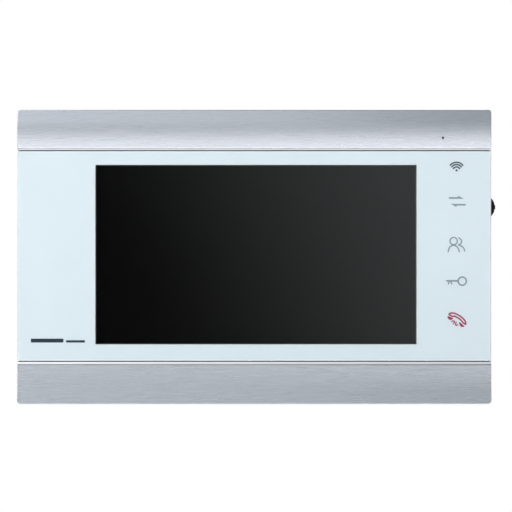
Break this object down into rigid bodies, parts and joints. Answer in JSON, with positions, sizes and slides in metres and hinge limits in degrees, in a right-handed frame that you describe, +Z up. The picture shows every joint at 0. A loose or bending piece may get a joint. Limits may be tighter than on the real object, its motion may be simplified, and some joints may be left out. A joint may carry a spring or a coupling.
{
  "type": "video intercom monitor",
  "caption": "Wall-mounted indoor video intercom monitor with a wide screen, white glass front, brushed metal strips, touch marks and a side jog lever.",
  "frame": {"origin": "middle of the wall bracket's back face, on the wall plane", "axes": "+X to the viewer's right, +Y into the wall, +Z up; the front faces -Y"},
  "size_m": [0.2319, 0.0243, 0.142],
  "materials": {
    "galvanised_steel": "satin zinc",
    "cover_plastic": "fine spark texture, light grey",
    "frame_plastic": "silver paint, satin",
    "brushed_aluminium": "brushed lengthwise, clear anodised, cut lip",
    "clear_glass": "polished",
    "white_print": "cool white back print",
    "black_foam": "closed-cell foam",
    "lcd_glass": "dark, switched off",
    "thin_steel": "bright tinned sheet",
    "white_plastic": "moulded",
    "flex_lead": "amber film",
    "green_board": "green solder resist",
    "chip_black": "moulded black",
    "spring_steel": "bright wire",
    "speaker_paper": "pressed black paper",
    "rubber": "soft moulded",
    "jog_plastic": "moulded black, satin",
    "red_wire": "insulation",
    "black_wire": "insulation",
    "header_plastic": "natural nylon",
    "zinc_screw": "zinc plated",
    "blank_label": "matt silver-white foil, blank",
    "dark_ink": "dark print behind glass",
    "grey_ink": "grey print behind glass",
    "red_ink": "red print behind glass"
  },
  "bodies": {
    "wall_bracket": {"wall_bracket": "galvanised_steel"},
    "monitor": {"rear_cover": "cover_plastic", "rating_label": "blank_label", "front_frame": "frame_plastic", "top_strip": "brushed_aluminium", "bottom_strip": "brushed_aluminium", "front_glass": "clear_glass", "printed_film": "white_print", "lcd_gasket": "black_foam", "lcd_bezel": "thin_steel", "lcd_cell": "lcd_glass", "lcd_backlight": "white_plastic", "lcd_ribbon": "flex_lead", "lcd_connector": "header_plastic", "touch_board": "green_board", "touch_ribbon": "flex_lead", "main_board": "green_board", "processor": "chip_black", "wireless_module": "thin_steel", "power_choke": "chip_black", "filter_capacitor_1": "thin_steel", "filter_capacitor_2": "thin_steel", "backup_battery": "spring_steel", "header_door_1": "header_plastic", "header_door_2": "header_plastic", "header_monitor": "header_plastic", "header_power": "header_plastic", "wireless_antenna": "flex_lead", "antenna_coax": "black_wire", "speaker_gasket": "black_foam", "speaker_basket": "thin_steel", "speaker_magnet": "chip_black", "speaker_wire_red": "red_wire", "speaker_wire_black": "black_wire", "mic_boot": "rubber", "mic_capsule": "thin_steel", "mic_wire_red": "red_wire", "mic_wire_black": "black_wire", "jog_housing": "chip_black", "jog_dome": "spring_steel", "touch_spring_1": "spring_steel", "touch_spring_2": "spring_steel", "touch_spring_3": "spring_steel", "touch_spring_4": "spring_steel", "touch_spring_5": "spring_steel", "cover_screw_1": "zinc_screw", "cover_screw_2": "zinc_screw", "cover_screw_3": "zinc_screw", "cover_screw_4": "zinc_screw", "cover_screw_5": "zinc_screw", "cover_screw_6": "zinc_screw", "board_screw_1": "zinc_screw", "board_screw_2": "zinc_screw", "board_screw_3": "zinc_screw", "board_screw_4": "zinc_screw"},
    "jog_fork": {"jog_fork": "white_plastic", "jog_pin": "spring_steel"},
    "jog_lever": {"jog_lever": "jog_plastic"},
    "speaker_cone": {"speaker_cone": "speaker_paper"}
  },
  "joints": [
    {"name": "lift_off", "type": "slide", "parent": "wall_bracket", "child": "monitor", "axis": [0, 0, 1], "range_m": [0, 0.007]},
    {"name": "jog_press", "type": "slide", "parent": "monitor", "child": "jog_fork", "axis": [-1, 0, 0], "range_m": [0, 0.0005], "stiffness_N_per_m": 600, "springref_m": -0.0005},
    {"name": "jog_tilt", "type": "hinge", "parent": "jog_fork", "child": "jog_lever", "pos_m": [0.1098, -0.0139, 0.02426], "axis": [0, 1, 0], "range_deg": [-10, 10], "stiffness_Nm_per_rad": 0.02},
    {"name": "speaker_stroke", "type": "slide", "parent": "monitor", "child": "speaker_cone", "axis": [0, 1, 0], "range_m": [-0.0003, 0.0003], "stiffness_N_per_m": 400}
  ]
}
